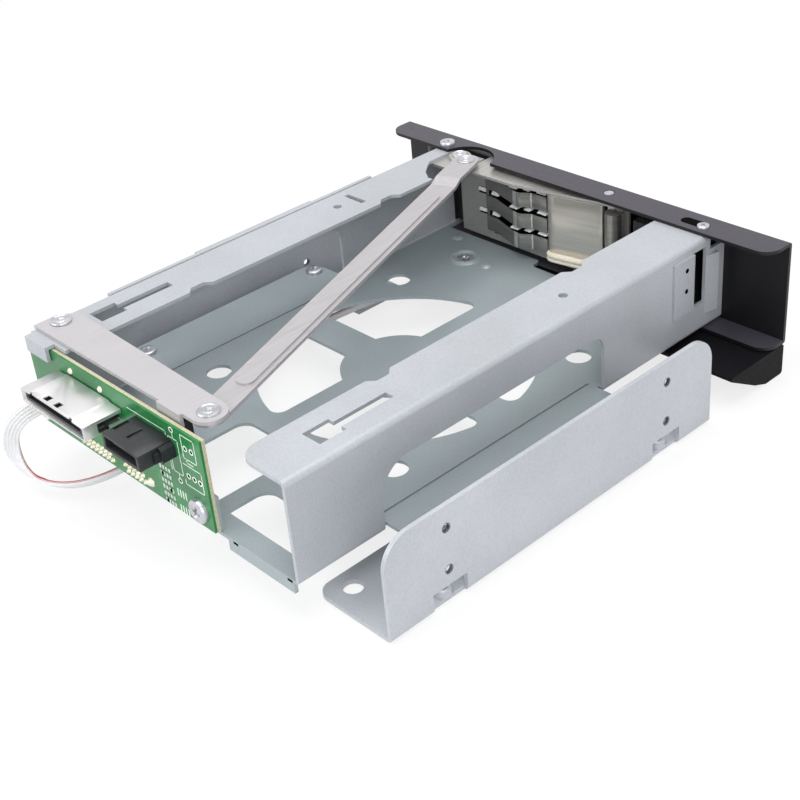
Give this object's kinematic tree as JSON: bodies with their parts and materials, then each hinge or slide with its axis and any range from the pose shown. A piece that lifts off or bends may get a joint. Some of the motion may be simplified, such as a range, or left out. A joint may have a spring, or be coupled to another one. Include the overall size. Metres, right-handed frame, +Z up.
{
  "type": "hot swap drive cage",
  "caption": "Folded steel cage for one hard drive in a wide bay, with side brackets, hinged front door, latch, link and rear ejector arm.",
  "frame": {"origin": "on the underside of the lower filler, mid-width, in the plane of the drive bay's front edge", "axes": "+X across the bay to the hinge side, +Y back into the bay, +Z up"},
  "size_m": [0.1474, 0.1781, 0.0422],
  "materials": {
    "cage_steel": "satin pre-coated sheet, pale blue-grey",
    "bracket_steel": "satin pre-coated sheet, grey",
    "black_steel": "black powder coat",
    "bright_steel": "bright rolled sheet",
    "spring_steel": "polished spring strip",
    "screw_steel": "bright zinc plate",
    "door_plastic": "black moulding",
    "pad_rubber": "black pad",
    "cream_plastic": "cream moulding",
    "board_green": "green solder mask",
    "socket_black": "black moulding",
    "lamp_clear": "clear moulding",
    "cable_white": "white flexible sleeve",
    "plug_white": "ivory moulding"
  },
  "bodies": {
    "cage": {"cage_floor": "cage_steel", "cage_rail_left": "cage_steel", "cage_rail_right": "cage_steel", "side_bracket_left": "bracket_steel", "side_bracket_right": "bracket_steel", "bracket_screws": "screw_steel", "filler_screws": "screw_steel", "bezel_screws": "screw_steel", "front_bezel": "black_steel", "lower_filler": "black_steel", "hinge_pin": "screw_steel", "hinge_plate": "bright_steel", "crank_rivet": "screw_steel", "ejector_pivot": "screw_steel", "backplane_board": "board_green", "board_screw": "screw_steel", "power_socket_shell": "bright_steel", "power_socket_tongue": "socket_black", "data_socket": "socket_black", "drive_socket": "socket_black", "solder_pins": "screw_steel", "lamp_board": "board_green", "light_guides": "lamp_clear", "front_plug": "plug_white", "rear_plug": "plug_white", "signal_cable": "cable_white"},
    "door": {"door_panel": "door_plastic", "door_frame": "bright_steel", "spring_fingers": "spring_steel", "bow_spring": "spring_steel", "rub_pad": "cream_plastic", "latch_sleeve": "spring_steel"},
    "latch": {"latch_bolt": "socket_black"},
    "crank": {"eject_crank": "bright_steel"},
    "ejector": {"ejector_arm": "bright_steel", "push_pad": "pad_rubber", "link_rear_rivet": "screw_steel"},
    "link": {"link_bar": "bright_steel", "link_front_rivet": "screw_steel"}
  },
  "joints": [
    {"name": "door_hinge", "type": "hinge", "parent": "cage", "child": "door", "pos_m": [0.0575, -0.001, 0.0256], "axis": [0, 0, 1], "range_deg": [0, 100]},
    {"name": "latch_slide", "type": "slide", "parent": "door", "child": "latch", "axis": [-1, 0, 0], "range_m": [0, 0.0036]},
    {"name": "crank_turn", "type": "hinge", "parent": "cage", "child": "crank", "pos_m": [0.0419, 0.0048, 0.0395], "axis": [0, 0, 1], "range_deg": [0, 40]},
    {"name": "ejector_turn", "type": "hinge", "parent": "cage", "child": "ejector", "pos_m": [0.0483, 0.1474, 0.0405], "axis": [0, 0, 1], "range_deg": [0, 3.86]},
    {"name": "link_turn", "type": "hinge", "parent": "ejector", "child": "link", "pos_m": [-0.0181, 0.1484, 0.0395], "axis": [0, 0, 1], "range_deg": [-4.22, 0]}
  ],
  "couplings": [
    {"joint": "crank_turn", "follows": "door_hinge", "ratio": 0.4},
    {"joint": "ejector_turn", "follows": "door_hinge", "ratio": 0.038568},
    {"joint": "link_turn", "follows": "door_hinge", "ratio": -0.042172}
  ]
}
